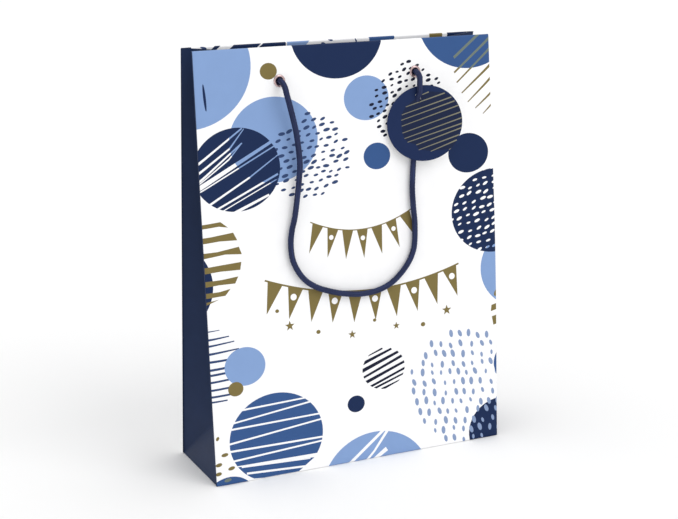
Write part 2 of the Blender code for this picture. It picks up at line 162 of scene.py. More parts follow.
def paperStock(name, look):
    # A sheet's colour drifts a little over centimetres, and its fibres lift the film in fine grains
    colour = colourFromHex(look["colour"])
    material, shader = newMaterial(name, {
        "Roughness": look["roughness"], "IOR": 1.5, "Metallic": look.get("metallic", 0.0),
        "Specular IOR Level": look["gloss"],
    })
    place = addNode(material, "ShaderNodeTexCoord")
    grain, drift = (
        addNode(material, "ShaderNodeTexNoise", {"Scale": 1 / (look[key] * mm), "Detail": detail},
                {"Vector": place.outputs["Object"]}) for key, detail in (("grain", 3.0), ("drift", 2.0)))
    tint = addNode(material, "ShaderNodeValToRGB", {}, {"Fac": drift.outputs["Fac"]})
    for element, stop, sign in zip(tint.color_ramp.elements, stock["ramp"], (-1, 1)):
        element.position = stop
        element.color = (*(min(1, c * (1 + sign * look["spread"])) for c in colour[:3]), 1)
    sheen = addNode(material, "ShaderNodeMapRange",
                    {"To Min": look["roughness"] - stock["smoother"],
                     "To Max": look["roughness"] + stock["rougher"]}, {"Value": grain.outputs["Fac"]})
    bump = addNode(material, "ShaderNodeBump", {"Strength": look["bump"], "Distance": stock["fibre"]},
                   {"Height": grain.outputs["Fac"]})
    feed(material, shader, {"Base Color": tint.outputs["Color"], "Roughness": sheen.outputs["Result"],
                            "Normal": bump.outputs["Normal"]})
    return material


# Offset-printed art paper under a satin film: even colour with a soft, wide highlight
inkLook = {"roughness": 0.42, "gloss": 0.12, "grain": 0.5, "drift": 14, "spread": 0.015, "bump": 0.10}
inkColours = {      # the bronze inks hold metal powder, which gives olive gold a dull glint
    "white": ("printed_art_paper_white", "#F6F6F7", 0.0),
    "lightBlue": ("printed_art_paper_light_blue", "#829ECB", 0.0),
    "midBlue": ("printed_art_paper_mid_blue", "#365689", 0.0),
    "navy": ("printed_art_paper_navy", "#17294E", 0.0),
    "navyDash": ("printed_art_paper_slate_navy", "#34476F", 0.0),
    "black": ("printed_art_paper_black_navy", "#161B31", 0.0),
    "dashBlue": ("printed_art_paper_dusk_blue", "#8699BC", 0.0),
    "midnight": ("printed_tag_card_midnight", "#1A2440", 0.0),
    "paleBronze": ("pale_bronze_ink_over_navy", "#838170", 0.15),
    "gold": ("bronze_powder_ink", "#7C6E42", 0.15),
    "goldOnBlue": ("bronze_ink_over_blue", "#6E7A72", 0.15),
}
inks = {key: paperStock(name, {**inkLook, "colour": colour, "metallic": metal})
        for key, (name, colour, metal) in inkColours.items()}
# Same laminated paper, flooded with navy; its wider colour drift is painted sheen, standing for the satin
# film that shows most on the dark sides
gussetInk = paperStock("flooded_art_paper_navy", {**inkLook, "colour": "#1C2B4A", "spread": 0.06})
# Bare back of the sheet: matt, faintly warm, with visible fibre
bareLook = {"roughness": 0.85, "gloss": 0.3, "grain": 0.8, "drift": 9, "spread": 0.02, "bump": 0.5}
barePaper = paperStock("uncoated_paper_back", {**bareLook, "colour": "#F1F0EC"})
foldedCard = paperStock("bleached_folding_card", {**bareLook, "colour": "#EAE8E2", "grain": 1.1})
greyBoard = paperStock("recycled_grey_board", {**bareLook, "colour": "#9A968E", "spread": 0.16, "drift": 1.6})
# Solid-dyed card with a satin face
tagFace = paperStock("satin_tag_card", {**inkLook, "colour": "#1A2A50", "roughness": 0.45})
tagBack = paperStock("uncoated_tag_back", {**bareLook, "colour": "#EFEEEA"})
print("paper materials made")


def platedSteel(look):
    # Nickel-plated pressed steel: bright, slightly rosy, with faint turning marks and hairlines
    material, shader = newMaterial("nickel_plated_steel", {
        "Base Color": colourFromHex(look["colour"]), "Metallic": 1.0, "Roughness": look["roughness"]})
    place = addNode(material, "ShaderNodeTexCoord")
    marks = addNode(material, "ShaderNodeTexNoise", {"Scale": 1 / (look["mark"] * mm), "Detail": 4.0},
                    {"Vector": place.outputs["Object"]})
    worn = addNode(material, "ShaderNodeMapRange",
                   {"From Min": 0.35, "From Max": 0.75, "To Min": 0.16, "To Max": 0.34},
                   {"Value": marks.outputs["Fac"]})
    bump = addNode(material, "ShaderNodeBump", {"Strength": 0.15, "Distance": 0.00002},
                   {"Height": marks.outputs["Fac"]})
    feed(material, shader, {"Roughness": worn.outputs["Result"], "Normal": bump.outputs["Normal"]})
    return material


eyeletMetal = platedSteel({"colour": "#C4AAAA", "roughness": 0.24, "mark": 0.5})


def knittedCord(look):
    # Knitted polyester: soft blue-violet sheen at the edges, and fine yarns along each pick
    material, shader = newMaterial("knitted_polyester_cord", {
        "Roughness": 0.62, "IOR": 1.5, "Specular IOR Level": 0.25, "Sheen Weight": 0.12,
        "Sheen Roughness": 0.4, "Sheen Tint": colourFromHex(look["sheen"])})
    place = addNode(material, "ShaderNodeUVMap", {"uv_map": "cordMap"})
    yarn = addNode(material, "ShaderNodeMapping", {"Scale": (look["yarnsRound"], 1 / look["yarnLength"], 1)},
                   {"Vector": place.outputs["UV"]})
    fibres = addNode(material, "ShaderNodeTexNoise", {"Scale": 1.0, "Detail": 4.0, "Roughness": 0.65},
                     {"Vector": yarn.outputs["Vector"]})
    tint = addNode(material, "ShaderNodeValToRGB", {}, {"Fac": fibres.outputs["Fac"]})
    for element, stop, shade in zip(tint.color_ramp.elements, (0.35, 0.7), ("deep", "pale")):
        element.position = stop
        element.color = colourFromHex(look[shade])
    bump = addNode(material, "ShaderNodeBump", {"Strength": 0.5, "Distance": 0.00012},
                   {"Height": fibres.outputs["Fac"]})
    feed(material, shader, {"Base Color": tint.outputs["Color"], "Normal": bump.outputs["Normal"]})
    return material


cordYarn = knittedCord({
    "deep": "#0F1530", "pale": "#2B3863", "sheen": "#56618C", "yarnsRound": 26, "yarnLength": 2.2})


def addMesh(name, points, faces, materials, faceInks=None, sharp=38):
    mesh = bpy.data.meshes.new(name)
    mesh.from_pydata([tuple(p) for p in points], [], faces)
    for material in materials:
        mesh.materials.append(material)
    if faceInks is not None:
        mesh.polygons.foreach_set("material_index", faceInks)
    mesh.shade_smooth()
    mesh.set_sharp_from_angle(angle=radians(sharp))
    mesh.validate()
    piece = bpy.data.objects.new(name, mesh)
    scene.collection.objects.link(piece)
    return piece


def faceCrosses(points, faces):
    a, b, c = (np.array(points, dtype=float)[np.array(faces)[:, i]] for i in range(3))
    return np.cross(b - a, c - a)


def thicken(name, points, faces, faceInks, materials, backInks, thickness):
    # Closes a drawn sheet with a second skin behind it and a rim round every edge
    points = np.array(points, dtype=float)
    crosses = faceCrosses(points, faces)
    normals = np.zeros_like(points)
    for i in range(3):
        np.add.at(normals, np.array(faces)[:, i], crosses)
    normals /= np.maximum(np.linalg.norm(normals, axis=1, keepdims=True), 1e-20)
    depth = np.asarray(thickness, dtype=float) * mm
    inner = points - normals * (depth[:, None] if depth.ndim else depth)
    count = len(points)
    seen = {}
    for index, face in enumerate(faces):
        for a, b in zip(face, face[1:] + face[:1]):
            key = (min(a, b), max(a, b))
            seen[key] = None if key in seen else (a, b, index)
    rims = [edge for edge in seen.values() if edge]
    allFaces = [tuple(f) for f in faces]
    allFaces += [tuple(i + count for i in reversed(f)) for f in faces]
    allFaces += [(b, a, a + count, b + count) for a, b, _ in rims]
    allInks = list(faceInks) + list(backInks) + [faceInks[index] for _, _, index in rims]
    return addMesh(name, np.vstack((points, inner)), allFaces, materials, allInks)


printLook = {"wide": 1.065, "tall": 0.957}


def oval(u, v, length, width, angle, sides=14):
    c, s = cos(radians(angle)), sin(radians(angle))
    turns = [2 * pi * i / sides for i in range(sides)]
    arcs = [(length / 2 * cos(t), width / 2 * sin(t)) for t in turns]
    return [(u + x * c - y * s, v + x * s + y * c) for x, y in arcs]


def disc(u, v, radius, sides=72):
    return oval(u, v, 2 * radius, 2 * radius, 0, sides)


def spot(u, v, radius, sides=72):       # the print's round spots are a little wider than tall
    return oval(u, v, 2 * radius * printLook["wide"], 2 * radius * printLook["tall"], 0, sides)


def stroke(start, end, startWidth, endWidth):
    a, b = Vector(start), Vector(end)
    side = Vector((-(b - a).y, (b - a).x)).normalized() / 2
    corners = (a + side * startWidth, a - side * startWidth, b - side * endWidth, b + side * endWidth)
    return [tuple(p) for p in corners]


def strokes(rows):
    return [stroke(row[:2], row[2:4], *row[4:]) for row in rows]


handCut = {"grow": (0.7, 1.2), "lift": 0.18, "turn": 14, "gap": (0.85, 1.2), "overrun": 1.04}
dashLooks = {       # seed, row pitch, dash pitch, length, width, angle and how steeply a row rises
    "slate": (4, 5.2, 7.2, 4.9, 2.3, 14, 0.14), "black": (9, 4.7, 6.3, 4, 2.2, 20, 0.2),
    "knockedOut": (15, 5.8, 7, 4.7, 2.1, 22, 0.12), "dusk": (21, 8, 8.6, 5.8, 3.1, 103, -0.12),
    "backSlate": (31, 5.6, 8.6, 4.6, 1.9, 14, 0.14), "backDusk": (37, 8, 8.6, 5.8, 3.1, 103, -0.12),
    "hem": (12, 4.6, 7.6, 4.4, 1.8, -12, 0),
}


def dashField(u, v, radius, look):
    # Hand-cut dashes in rough rows inside a circle
    seed, rowPitch, pitch, length, width, angle, rise = dashLooks[look]
    draw = random.Random(seed)
    marks = []
    for row in range(int(2 * radius / rowPitch) + 1):
        level = v - radius + (row + 0.5) * rowPitch
        reach = sqrt(max(0, radius ** 2 - (level - v) ** 2)) * printLook["wide"]
        place = u - reach + draw.uniform(0, pitch)
        while place < u + reach:
            grow = draw.uniform(*handCut["grow"])
            lift = draw.uniform(-handCut["lift"], handCut["lift"]) * rowPitch + (place - u) * rise
            turn = angle + draw.uniform(-handCut["turn"], handCut["turn"])
            marks.append(oval(place, level + lift, length * grow, width * grow, turn))
            place += pitch * draw.uniform(*handCut["gap"])
    limit = radius * handCut["overrun"]
    return [m for m in marks if hypot((m[0][0] - u) / printLook["wide"], m[0][1] - v) < limit]


def swag(start, end, sag, width, steps=28):
    # The string of a bunting, as short pieces along a shallow curve
    points = []
    for i in range(steps + 1):
        t = i / steps
        points.append((start[0] + (end[0] - start[0]) * t,
                       start[1] + (end[1] - start[1]) * t - 4 * sag * t * (1 - t)))
    return points, [stroke(a, b, width, width) for a, b in zip(points, points[1:])]


def bunting(look):
    points, shapes = swag(look["start"], look["end"], look["sag"], look["string"])
    spots = []
    for i in range(look["count"]):
        t = (i + 0.5) / look["count"] * (len(points) - 1)
        a, b = points[int(t)], points[int(t) + 1]
        tilt = atan2(b[1] - a[1], b[0] - a[0])
        centre = Vector(a).lerp(Vector(b), t - int(t))
        along = Vector((cos(tilt), sin(tilt)))
        down = Vector((along.y, -along.x)) * look["height"]
        across = along * look["width"] / 2
        shapes.append([tuple(p) for p in (centre - across, centre + down, centre + across)])
        if i % 2:
            eye = centre + down * look["eyeDrop"]
            spots.append(disc(eye.x, eye.y, look["width"] * look["eye"], 28))
    return shapes, spots


def star(u, v, radius, waist=0.42):
    ring = []
    for i in range(10):
        reach = radius * (waist if i % 2 else 1)
        t = radians(90 + 36 * i)
        ring.append((u + reach * cos(t), v + reach * sin(t)))
    return ring


def layer(ink, shapes, cut=(), within=None, over=None):
    return {"ink": ink, "shapes": shapes, "cut": list(cut), "within": within, "over": over or {}}


def dot(ink, u, v, radius, sides=72, cut=()):
    return layer(ink, [spot(u, v, radius, sides)], cut)


# Front print, along from the middle and up from the base fold. A stroke is two ends and two widths
frontStrokes = {
    "brushed": [
        (-128, 247.5, -89.5, 273.5, 1.8, 1.1), (-128, 240.5, -100, 259, 1.7, 1.3),
        (-100, 259, -88, 273, 1.3, 0.6), (-128, 234, -90, 262.5, 1.7, 1),
        (-128, 232.5, -101, 251, 0.8, 1.1), (-101, 251, -90, 262.5, 1, 0.6),
        (-128, 230, -66, 261.8, 3.6, 2.2), (-128, 227, -64, 258.2, 1, 1),
        (-122, 216.2, -85, 236.2, 1.7, 1.3), (-85, 236.2, -61, 251.5, 1.1, 0.8),
        (-119, 211.5, -62, 236.8, 1.4, 1.5), (-114, 210, -61, 233.8, 0.8, 0.7),
        (-104, 208.3, -70, 221.6, 2.4, 1.7)],
    "thinLines": [
        (-128, 122, -116, 122.6, 1.1, 0.6), (-128, 115.5, -108.5, 116.9, 1.9, 0.9),
        (-128, 110.6, -104.5, 112.5, 1.8, 0.9), (-128, 104.4, -101, 106.2, 2, 1),
        (-128, 98.4, -108, 98.8, 2, 1.6), (-128, 92, -110, 92.8, 2, 1.8),
        (-128, 87.9, -108, 88.9, 1.8, 1.8), (-128, 82.3, -107, 83.4, 1.8, 1.5),
        (-128, 76.2, -107, 77, 1.8, 1.5), (-128, 71, -108, 71.5, 1.8, 1.5),
        (-128, 67, -112.5, 67.3, 1.6, 1.1)],
    "whiteBands": [
        (-104, 57.4, -46, 59.2, 1.5, 1.2), (-112, 47.8, -40, 55.8, 1.3, 1.3),
        (-112, 43.3, -34, 44.6, 1.5, 1.3), (-114, 31.9, -32, 40.2, 1.5, 1.3),
        (-114, 26, -32, 25.3, 1.6, 1.5), (-110, 18, -32, 22.4, 1.5, 1.3),
        (-108, 13.2, -38, 11.2, 0.8, 3.3), (-104, 12.6, -46, 9.4, 2, 0.7),
        (-100, 6.4, -48, 3.6, 1.7, 1.6)],
    "goldLines": [
        (116, 333.4, 92.5, 315.4, 2.2, 2.2), (126, 330, 92.5, 303.6, 2.2, 1.5),
        (126, 321.7, 94.5, 295.6, 2, 1.1), (126, 308.5, 98.8, 287.1, 2.2, 1),
        (126, 298.1, 104, 279.6, 2.1, 0.8), (126, 286.3, 110.6, 274.3, 1.8, 0.8),
        (126, 276.9, 117.2, 269.4, 1.6, 0.6)],
    "bars": [
        (8, 84.6, 21, 89.2, 0.8, 1.6), (2, 78.6, 29, 87.8, 2.8, 1.8), (0, 72.2, 35, 84.6, 3.2, 2.2),
        (1, 66.6, 38, 80.8, 1.8, 2.4), (4, 62.8, 42, 76.4, 2.8, 2), (9, 59.2, 42, 70.9, 2, 1.9),
        (12, 57.2, 40, 66.2, 1.9, 1.4), (19, 55.6, 37, 61.6, 2.2, 0.7)],
}
goldCuts = [
    [(-128, 203.6), (-110.5, 204.8), (-104.6, 200), (-112, 201.4), (-128, 200.4)],
    [(-128, 193.6), (-118, 194.2), (-100.7, 195.8), (-97.7, 189.6), (-112, 190.2), (-128, 189.2)],
    [(-128, 182.2), (-114, 182.4), (-96.7, 184.6), (-94.6, 178.6), (-108, 179.8), (-128, 177.8)],
    [(-128, 171), (-112, 172), (-95.3, 172.8), (-96.5, 166.8), (-113, 167.2), (-128, 166.4)],
    [(-128, 160.6), (-112, 160.8), (-98.4, 162), (-101.2, 156.8), (-114, 157), (-128, 156.2)],
    [(-128, 151.6), (-114, 151.8), (-105.2, 153.2), (-109.6, 148.4), (-128, 147.6)],
    [(-128, 144.4), (-115, 146), (-128, 141.6)],
]
drawn = {key: strokes(rows) for key, rows in frontStrokes.items()}
upperFlags, upperEyes = bunting({
    "start": (-37, 197), "end": (51, 199), "sag": 11, "string": 0.9,
    "count": 7, "width": 9.5, "height": 23, "eye": 0.2, "eyeDrop": 0.3})
lowerFlags, lowerEyes = bunting({
    "start": (-77, 156), "end": (92, 150), "sag": 15, "string": 1.4,
    "count": 10, "width": 13, "height": 25, "eye": 0.2, "eyeDrop": 0.3})
confetti = [star(-58, 118, 4.2), star(80, 113, 4.4), star(-5, 104, 3.6), star(34, 106, 3.2)]
confetti += [spot(*row, 20) for row in ((-34, 110, 1.7), (58, 104, 1.9), (-68, 131, 1.5), (15, 113, 1.4))]
frontPrint = [
    dot("lightBlue", -131.6, 321.2, 48.6),
    layer("navy", [oval(-117.6, 297.9, 20.5, 2.1, 94)]),
    dot("gold", -66, 314.3, 6.5, 40),
    dot("navy", -8.6, 340, 36.2),
    dot("lightBlue", -64.1, 262.7, 34),
    layer("navyDash", dashField(-34.6, 247.6, 32.6, "slate")),
    dot("navy", -95.1, 242.7, 33, cut=drawn["brushed"]),
    dot("lightBlue", 14.5, 289, 18, 56),
    layer("black", dashField(49.6, 285.2, 30, "black")),
    dot("midBlue", 106, 346.6, 42),
    layer("gold", drawn["goldLines"], over={"midBlue": "goldOnBlue"}),
    dot("midBlue", 22, 243.3, 10.9, 48),
    dot("navy", 103, 239, 16.6, 56),
    dot("lightBlue", 151.9, 142.6, 38),
    dot("navy", 125.3, 190.4, 36, cut=dashField(126, 190, 37, "knockedOut")),
    layer("gold", [[(123.2, 122.4), (126, 126), (126, 117.6), (122.7, 119.6)],
                   [(120.4, 111.8), (126, 113), (126, 107.8), (119.8, 106.6)],
                   [(120.7, 102.2), (126, 103.2), (126, 95.6), (122, 94.9)]]),
    dot("navy", 127.5, 5.7, 28),
    layer("dashBlue", dashField(95.1, 47.8, 49, "dusk")),
    dot("midBlue", 141.2, 62.5, 18),
    layer("black", drawn["bars"], within=spot(21.5, 72.7, 17.7, 56)),
    dot("navy", -4.1, 47.2, 7.1, 40),
    dot("lightBlue", 11, -21.3, 45, cut=strokes([
        (22, 24, -12, -1, 2.4, 2.6), (25, 24, 10.4, 6, 2.6, 1.8), (10.4, 6, 3, -1, 1.8, 2.0),
        (21.5, 6, 10, -1, 3.6, 2.8)])),
    dot("midBlue", -73.5, 31.5, 37, cut=drawn["whiteBands"] + [[(-112, 3), (-86.3, 0.6), (-56.4, 0.6),
                      (-36, 14), (-30, -8), (-118, -8)]]),
    dot("navy", -161.6, 157.6, 40),
    layer("gold", goldCuts),
    layer("navyDash", drawn["thinLines"]),
    dot("lightBlue", -96.8, 91.5, 15.8, 56),
    dot("gold", -105.4, 74.8, 5.9, 40),
    dot("midBlue", -114.3, -12.3, 19.4, 56),
    layer("gold", [oval(*row) for row in (
        (-122.3, 37.9, 3.6, 2.4, 60), (-117.2, 24.3, 5.8, 3.0, 6), (-122.4, 17, 5.4, 3.0, 12),
        (-112.3, 12.8, 5.8, 3.0, 10), (-123, 9.8, 5.2, 3.0, 12))]),
    layer("goldOnBlue", [oval(-115.8, 3.9, 6, 2.8, 8)]),
    layer("gold", upperFlags, cut=upperEyes),
    layer("gold", lowerFlags, cut=lowerEyes),
    layer("gold", confetti),
]

# The back has the same kinds of shapes in an order of its own
bands = strokes([(-40, 60 + 9 * i, 60, 66 + 9 * i, 2.2, 2) for i in range(9)])
lines = strokes([(60, 258 + 6 * i, 130, 270 + 6 * i, 1.4, 0.9) for i in range(10)])
backPrint = [
    dot("lightBlue", 128, 300, 46),
    dot("midBlue", 70, 326, 32),
    dot("navy", -20, 330, 30),
    layer("gold", lines, within=spot(98, 285, 28)),
    dot("lightBlue", -62, 250, 36),
    layer("navyDash", dashField(-92, 228, 32, "backSlate")),
    dot("navy", 60, 222, 26),
    dot("navy", -118, 168, 30, cut=strokes([
        (-150, 146 + 9 * i, -84, 168 + 9 * i, 2.6, 1.2) for i in range(5)])),
    dot("midBlue", 8, 190, 12, 48),
    dot("gold", -38, 196, 7, 40),
    layer("dashBlue", dashField(92, 130, 42, "backDusk")),
    dot("midBlue", 10, 100, 36, cut=bands),
    dot("lightBlue", -84, 84, 20),
    dot("navy", -46, 140, 9, 44),
    layer("gold", [spot(-104, 62, 6, 40), spot(66, 66, 7, 40)]),
    layer("black", strokes([(60, 12 + 6 * i, 112, 24 + 6 * i, 3, 2) for i in range(6)]),
          within=spot(88, 30, 19, 56)),
    dot("lightBlue", -30, -14, 40),
    dot("navy", -120, 4, 26),
]

# Each wall is one sheet with rounded folds at its sides, foot and mouth, and its hem turned in
fold = {
    "side": 0.8, "curlRadius": 52, "curl": 0.13, "lip": 0.6,    # the sides ease back before they turn
    "mouth": 1.2, "mouthDrop": 0.9,                             # the arc over the hem card
    "foot": 0.6, "footLip": 1.0, "lift": 0.12,
    "hollow": 0.7, "ripple": 0.3, "waves": (31, 47), "stiffTop": 46,    # between the stiff edges
    "bow": 2.4, "bowFrom": 84, "bowEase": 30,                   # the front's right edge eases outward
    "inkTurn": 0.55, "grid": 8.0,
}
curlStart = halfWidth - fold["side"] * (1 - sin(fold["curl"]))
curlStart -= fold["curlRadius"] * sin(fold["curl"])
curlEnd = curlStart + fold["curlRadius"] * fold["curl"]
turnEnd = curlEnd + fold["side"] * (pi / 2 - fold["curl"])
sheetSide = turnEnd + fold["lip"]
mouthStart = wallLength - fold["mouthDrop"]
mouthHalf = mouthStart + fold["mouth"] * pi / 2
mouthEnd = mouthStart + fold["mouth"] * pi
hemStart = wallLength - bag["hemDepth"]
hemEnd = mouthEnd + mouthStart - hemStart
hemSide = halfWidth - bag["hemInset"]
footEnd = fold["foot"] * (1 - pi / 2) - fold["footLip"]


def sideFold(u):        # along and depth, from the place across the flat sheet
    a = abs(u)
    if a <= curlStart:
        return u, 0.0
    radius, small = fold["curlRadius"], fold["side"]
    bend = min((a - curlStart) / radius, fold["curl"])
    x = curlStart + radius * sin(bend)
    depth = radius * (1 - cos(bend))
    if a > curlEnd:
        turn = min(fold["curl"] + (a - curlEnd) / small, pi / 2)
        x += small * (sin(turn) - sin(fold["curl"]))
        depth += small * (cos(fold["curl"]) - cos(turn))
        depth += max(0.0, a - turnEnd)
    return copysign(x, u), depth


def lengthFold(v):      # up and depth, from the place along the flat sheet
    if v < fold["foot"]:
        small = fold["foot"]
        turn = min((small - v) / small, pi / 2)
        rest = max(0.0, small - v - small * pi / 2)
        return small * (1 - sin(turn)) + fold["lift"], small * (1 - cos(turn)) + rest
    if v <= mouthStart:
        return v, 0.0
    radius = fold["mouth"]
    turn = min((v - mouthStart) / radius, pi)
    up = mouthStart + radius * sin(turn) - max(0.0, v - mouthEnd)
    return up, radius * (1 - cos(turn))


def edgeBow(wall, side, up):        # how far a side fold stands out from a straight line
    if wall == "back" or side < 0:
        return 0.0
    share = (max(0.0, up) + fold["bowEase"]) / (wallLength + 2 * fold["bowEase"])
    return fold["bow"] * sin(pi * min(1.0, share)) ** 2


def wallSurface(wall, u, v):
    x, sideDepth = sideFold(u)
    bowed = max(0.0, abs(u) - fold["bowFrom"]) / (sheetSide - fold["bowFrom"])
    x += edgeBow(wall, u, v) * min(1.0, bowed) ** 2
    up, lengthDepth = lengthFold(v)
    depth = sideDepth + lengthDepth
    span = wallLength - fold["stiffTop"]
    if v < span and abs(u) < curlStart:
        swell = sin(pi * max(0.0, v) / span) * (1 - (u / curlStart) ** 2)
        wide, tall = fold["waves"]
        depth += swell * (fold["hollow"] + fold["ripple"] * sin(u / wide + v / tall))
    return onWall(wall, x, up, -depth)


def insidePolygon(points, polygon):
    low, high = np.min(polygon, axis=0), np.max(polygon, axis=0)
    near = np.all((points >= low) & (points <= high), axis=1)
    result = np.zeros(len(points), dtype=bool)
    x, y = points[near, 0], points[near, 1]
    hit = np.zeros(len(x), dtype=bool)
    for (ax, ay), (bx, by) in zip(polygon, polygon[1:] + polygon[:1]):
        if ay == by:
            continue
        crosses = (ay > y) != (by > y)
        hit ^= crosses & (x < (bx - ax) * (y - ay) / (by - ay) + ax)
    result[near] = hit
    return result


def insideAny(points, polygons):
    result = np.zeros(len(points), dtype=bool)
    for polygon in polygons:
        result |= insidePolygon(points, polygon)
    return result


def cutSheet(outline, holes, layers, guides, spots):
    # Triangles of a flat sheet whose edges follow every printed shape
    coords, edges = [], []

    def addRing(ring):
        start = len(coords)
        coords.extend(ring)
        edges.extend((start + i, start + (i + 1) % len(ring)) for i in range(len(ring)))

    for ring in [outline, *holes]:
        addRing(ring)
    for each in layers:
        for ring in each["shapes"] + each["cut"] + ([each["within"]] if each["within"] else []):
            addRing(ring)
    for a, b in guides:
        edges.append((len(coords), len(coords) + 1))
        coords.extend((a, b))
    coords.extend(spots)
    verts, _, faces, *_ = delaunay_2d_cdt([Vector(c) for c in coords], edges, [], 0, 1e-4)
    flat = np.array([tuple(v) for v in verts])
    tris = np.array(faces)
    centres = flat[tris].mean(axis=1)
    keep = insidePolygon(centres, outline) & ~insideAny(centres, holes)
    tris, centres = tris[keep], centres[keep]
    names = list(inks)
    ink = np.full(len(tris), names.index("white"))
    for each in layers:
        hit = insideAny(centres, each["shapes"])
        if each["within"]:
            hit &= insidePolygon(centres, each["within"])
        hit &= ~insideAny(centres, each["cut"])
        under = ink.copy()
        ink[hit] = names.index(each["ink"])
        for below, shown in each["over"].items():
            ink[hit & (under == names.index(below))] = names.index(shown)
    used = np.unique(tris)
    renumber = np.full(len(flat), -1)
    renumber[used] = np.arange(len(used))
    return flat[used], renumber[tris], ink


def makeWall(wall, layers):
    outline = [(-sheetSide, footEnd), (sheetSide, footEnd), (sheetSide, mouthHalf), (hemSide, mouthHalf),
               (hemSide, hemEnd), (-hemSide, hemEnd), (-hemSide, mouthHalf), (-sheetSide, mouthHalf)]
    holes = [disc(side * eyeletAlong, level, bag["hole"], 40)
             for side in (-1, 1) for level in (eyeletUp, mouthEnd + mouthStart - eyeletUp)]
    turns = [curlStart + (curlEnd - curlStart) * i / 4 for i in range(5)]
    turns += [curlEnd + (turnEnd - curlEnd) * i / 5 for i in range(1, 6)]
    guides = [((side * u, footEnd), (side * u, mouthHalf)) for side in (-1, 1) for u in turns]
    levels = [fold["foot"] * (1 - pi / 2 * i / 4) for i in range(5)]
    levels += [mouthStart + (mouthHalf - mouthStart) * i / 5 for i in range(5)]
    guides += [((-sheetSide, v), (sheetSide, v)) for v in levels]
    levels = [mouthHalf + (mouthEnd - mouthHalf) * i / 5 for i in range(6)]
    guides += [((-hemSide, v), (hemSide, v)) for v in levels]
    # the side folds turn navy, where the gusset's flood of ink begins
    near, far = curlEnd + (turnEnd - curlEnd) * fold["inkTurn"], sheetSide + 1
    low, high = footEnd - 1, mouthHalf + 1
    corners = ((near, low), (far, low), (far, high), (near, high))
    sides = [[(side * u, v) for u, v in corners] for side in (-1, 1)]
    spots = [(u, v) for u in np.arange(-112, 113, fold["grid"]) for v in np.arange(6, hemEnd, fold["grid"])]
    flat, faces, ink = cutSheet(outline, holes, layers + [layer("navy", sides)], guides, spots)
    points = [wallSurface(wall, u, v) for u, v in flat]
    piece = thicken(f"{wall}_wall_paper", points, faces.tolist(), ink.tolist(), [*inks.values(), barePaper],
                    [len(inks)] * len(faces), bag["paper"])
    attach(piece, f"{wall}_wall")
    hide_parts(f"{wall}_panel", f"{wall}_hem")
    print(wall, "wall sheet:", len(faces), "printed triangles")


# Print that runs over the mouth and down the hem; the back's hem shows above the front's edge
def hemPrint():
    top = mouthStart + 1.2      # where the turned sheet first faces the front
    deep = mouthEnd + 26

    def band(left, right, leftSlope=0.0, rightSlope=None, high=deep):
        # between two places across the bag, seen from the front; a slope drifts left with depth
        rightSlope = leftSlope if rightSlope is None else rightSlope
        run = high - top
        return [(-left, top), (-right, top), (rightSlope * run - right, high), (leftSlope * run - left, high)]

    dashes = [oval(u, mouthEnd + v, *rest) for u, v, *rest in (
        (107.4, -0.4, 5.4, 2, -18), (104.4, 1.6, 3.4, 1.6, 12), (17.5, 3, 4.6, 1.8, -12),
        (8.8, 1.7, 4.2, 2.2, -16), (2.6, -1, 4.2, 1.8, -10), (-12.5, 2.6, 4.6, 1.8, -12),
        (-19.3, 0.8, 4.4, 1.3, -66), (-54.5, 2.4, 4.4, 1.9, -14))]
    dashes += dashField(-4, mouthEnd + 18, 13, "hem")
    slots = strokes([(-38, mouthEnd + 4.6, -58, mouthEnd + 1.6, 1.2, 1.0),
                     (-36, mouthEnd + 6.4, -47, mouthEnd + 2.4, 0.9, 0.7)])
    return [
        layer("white", [band(-127, 127)]),
        layer("navy", [band(-127, -117)]),
        layer("navy", [band(-97, -92.4, 1.15), band(-81.8, -40.4, 1.15, 0.0)],
              cut=[band(-59.4, -57.8, 1.15)]),
        layer("lightBlue", [band(-39.4, -19.5, 0.0, 0.9, high=mouthEnd + 14)]),
        layer("navyDash", dashes),
        layer("midBlue", [oval(-41.8, mouthEnd - 2, 22.4, 32, 0, 48)], cut=slots),
        layer("gold", [band(84.4, 96.2)]),
        layer("navy", [band(100.6, 125.2)]),
    ]


frontHemPrint = [
    layer("lightBlue", [disc(-60, mouthEnd + 26, 20)]),
    layer("navy", [disc(66, mouthEnd + 22, 16)]),
    layer("gold", [disc(0, mouthEnd + 16, 6, 40)]),
]
makeWall("front", frontPrint + frontHemPrint)
makeWall("back", backPrint + hemPrint())


# Each half of a gusset is a leaf and half of the base triangle
gusset = {
    "half": halfDepth - bag["drawnSheet"] - bag["paperGap"],
    "tuck": 0.45,           # the outer skin stands this far inside the wall's side fold
    "under": 0.98,          # the edge lies this far behind the wall's face, under its fold
    "hem": 0.55,            # extra thickness of the turned-in hem
    "footRows": 8, "rows": 44, "hemRows": 8, "columns": 10,
    "soft": 0.5, "wave": 38,        # how far the free sheet swells between its folds
    # share of the wall's swing: its gain per mm across, through and up, and its value in the fold's plane
    "gainAcross": 0.02047, "gainThrough": -0.01889, "gainUp": 0.001519, "shareAtFold": 0.2594,
}


def sheetAt(up):
    return bag["paper"] + (gusset["hem"] if up > hemStart else 0)


def halfDepthAt(up):
    return gusset["half"] - up * sin(lean)


def creaseInset(up):
    return sqrt(max(0.0, gusset["half"] ** 2 - halfDepthAt(up) ** 2))


baseSlope = creaseInset(gusset["half"]) / gusset["half"]
baseRise = sqrt(1 - baseSlope ** 2)


def gussetInner(up):        # where a leaf meets the base triangle, then the middle crease
    half = gusset["half"]
    if up <= half:
        return Vector((baseSlope * up, -(half - up), baseRise * up))
    length = wallLength - half
    drift = creaseInset(wallLength) - creaseInset(half)
    climb = sqrt(length ** 2 - drift ** 2) / length
    return Vector((creaseInset(up), 0, baseRise * half + climb * (up - half)))


